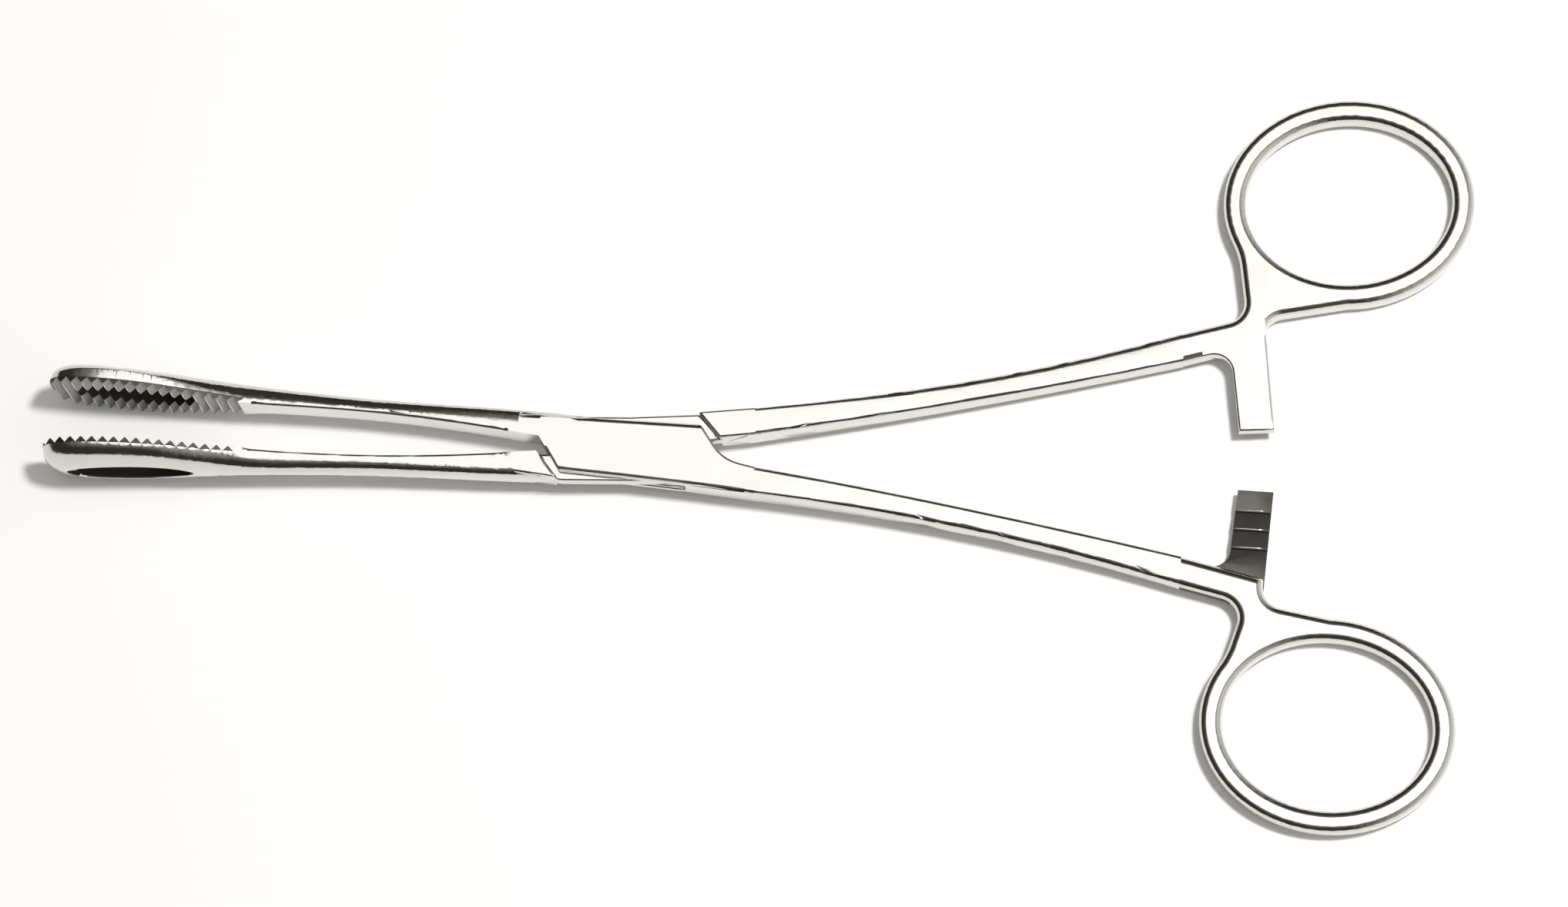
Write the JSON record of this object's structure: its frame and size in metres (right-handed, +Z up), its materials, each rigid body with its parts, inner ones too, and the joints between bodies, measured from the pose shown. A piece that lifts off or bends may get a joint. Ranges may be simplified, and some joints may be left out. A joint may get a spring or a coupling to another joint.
{
  "type": "straight fenestrated grasping forceps",
  "caption": "Ring-handled steel grasping forceps with a box-lock pivot, straight slotted jaws with cross serrations, and a ratchet between the finger rings.",
  "frame": {"origin": "on the pivot axis, at the box lock's flat upper face", "axes": "+X along the closing line from the jaws to the finger rings, +Y towards the ring of the tongue half, +Z up out of the box lock's face along the pivot axis"},
  "size_m": [0.1694, 0.0891, 0.0128],
  "materials": {
    "box_half": "polished to satin",
    "tongue_half": "polished to satin",
    "pivot_pin": "ground flush"
  },
  "bodies": {
    "box_half": {"box_half": "box_half", "pivot_pin": "pivot_pin"},
    "tongue_half": {"tongue_half": "tongue_half"}
  },
  "joints": [
    {"name": "pivot", "type": "hinge", "parent": "box_half", "child": "tongue_half", "pos_m": [0, 0, 0], "axis": [0, 0, 1], "range_deg": [-5.6, 25]}
  ]
}
